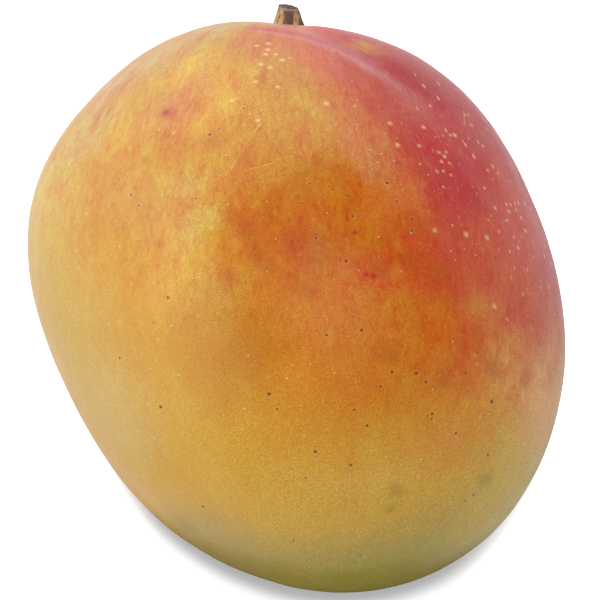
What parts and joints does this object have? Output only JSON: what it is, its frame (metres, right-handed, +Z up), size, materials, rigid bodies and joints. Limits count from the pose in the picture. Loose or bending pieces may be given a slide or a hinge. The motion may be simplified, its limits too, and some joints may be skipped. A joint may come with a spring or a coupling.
{
  "type": "mango",
  "caption": "Ripe round mango with a red blush, lying on one cheek, with the short dried stub of its stem still on.",
  "frame": {"origin": "middle of the small flat spot on the lower cheek, where the fruit rests", "axes": "+Y along the fruit from its nose to its stem end, +X from its back to its belly side, +Z up through the cheek that faces up"},
  "size_m": [0.0962, 0.116, 0.0874],
  "materials": {
    "mango_skin": "smooth waxy fruit skin, satin",
    "dry_stem": "dry, ribbed, matt"
  },
  "bodies": {
    "root": {"fruit": "mango_skin", "stem": "dry_stem"}
  },
  "joints": []
}
